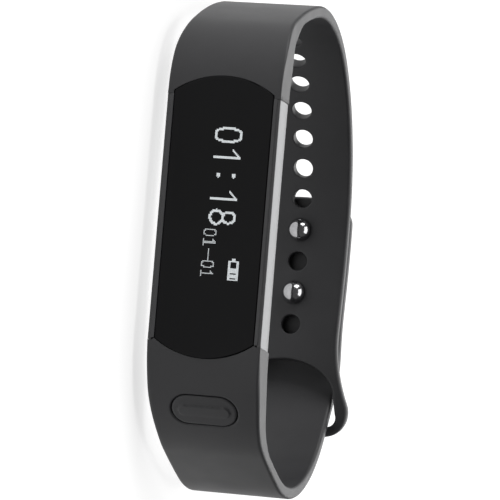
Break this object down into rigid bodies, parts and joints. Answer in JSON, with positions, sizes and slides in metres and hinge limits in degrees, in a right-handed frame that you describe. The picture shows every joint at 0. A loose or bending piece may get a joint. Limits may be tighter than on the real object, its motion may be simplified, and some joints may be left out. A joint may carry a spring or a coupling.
{
  "type": "fitness tracker band",
  "caption": "Slim fitness tracker: a flat glass-fronted core between soft straps, closed in a loop by a keeper ring and a stud clasp.",
  "frame": {"origin": "on the ground plane, under the middle of the closed loop's box, with the band lying on its side edge", "axes": "+Z along the wrist axis, upwards as the band lies; -Y out of the display; +X along the display from its first digit towards the key, so the text reads upright from -Y"},
  "size_m": [0.0744, 0.056, 0.0211],
  "materials": {
    "lens_glass": "polished, printed black from behind",
    "adhesive_black": "matt",
    "case_plastic": "fine moulded grain",
    "gasket_rubber": "smooth",
    "trim_metal": "satin with a fine lengthwise brush",
    "panel_glass": "smooth",
    "frame_plastic": "moulded",
    "flex_film": "smooth film",
    "board_laminate": "solder mask",
    "chip_plastic": "moulded",
    "ceramic": "fired ceramic",
    "battery_foil": "laminate foil",
    "pad_foam": "foam tape",
    "nickel": "plated",
    "steel_can": "drawn",
    "tungsten": "sintered",
    "black_plastic": "moulded",
    "tongue_laminate": "solder mask",
    "gold_contact": "gold plated",
    "strap_silicone": "matt silicone with a soft sheen",
    "clasp_steel": "satin",
    "clasp_chrome": "polished"
  },
  "bodies": {
    "core": {"display_lens": "lens_glass", "lens_adhesive": "adhesive_black", "case_front": "case_plastic", "case_gasket": "gasket_rubber", "case_back": "case_plastic", "side_trim_right": "trim_metal", "side_trim_left": "trim_metal", "display_panel": "panel_glass", "display_frame": "frame_plastic", "display_flex": "flex_film", "main_board": "board_laminate", "board_chips": "chip_plastic", "motion_sensor": "chip_plastic", "antenna": "ceramic", "battery_cell": "battery_foil", "battery_pad": "pad_foam", "battery_tabs": "nickel", "motor_case": "steel_can", "motor_shaft": "steel_can", "key_switch": "steel_can", "key_flex": "flex_film", "usb_tongue": "tongue_laminate", "usb_contacts": "gold_contact", "upper_strap": "strap_silicone", "lower_strap": "strap_silicone"},
    "tail": {"strap_tail": "strap_silicone", "clasp_plate": "clasp_steel", "clasp_stud_upper": "clasp_chrome", "clasp_stud_lower": "clasp_chrome"},
    "key": {"key_pad": "strap_silicone"},
    "plunger": {"switch_plunger": "black_plastic"},
    "rotor": {"motor_rotor": "tungsten"}
  },
  "joints": [
    {"name": "clasp_release", "type": "slide", "parent": "core", "child": "tail", "axis": [0, 1, 0], "range_m": [0, 0.0045]},
    {"name": "key_press", "type": "slide", "parent": "core", "child": "key", "axis": [-0.544, 0.8391, 0], "range_m": [0, 0.00025], "stiffness_N_per_m": 800},
    {"name": "plunger_travel", "type": "slide", "parent": "core", "child": "plunger", "axis": [-0.544, 0.8391, 0], "range_m": [0, 0.00025]},
    {"name": "motor_spin", "type": "hinge", "parent": "core", "child": "rotor", "pos_m": [0.01133, -0.02337, 0.01055], "axis": [0, 1, 0], "continuous": true}
  ],
  "couplings": [
    {"joint": "plunger_travel", "follows": "key_press", "ratio": 1}
  ]
}
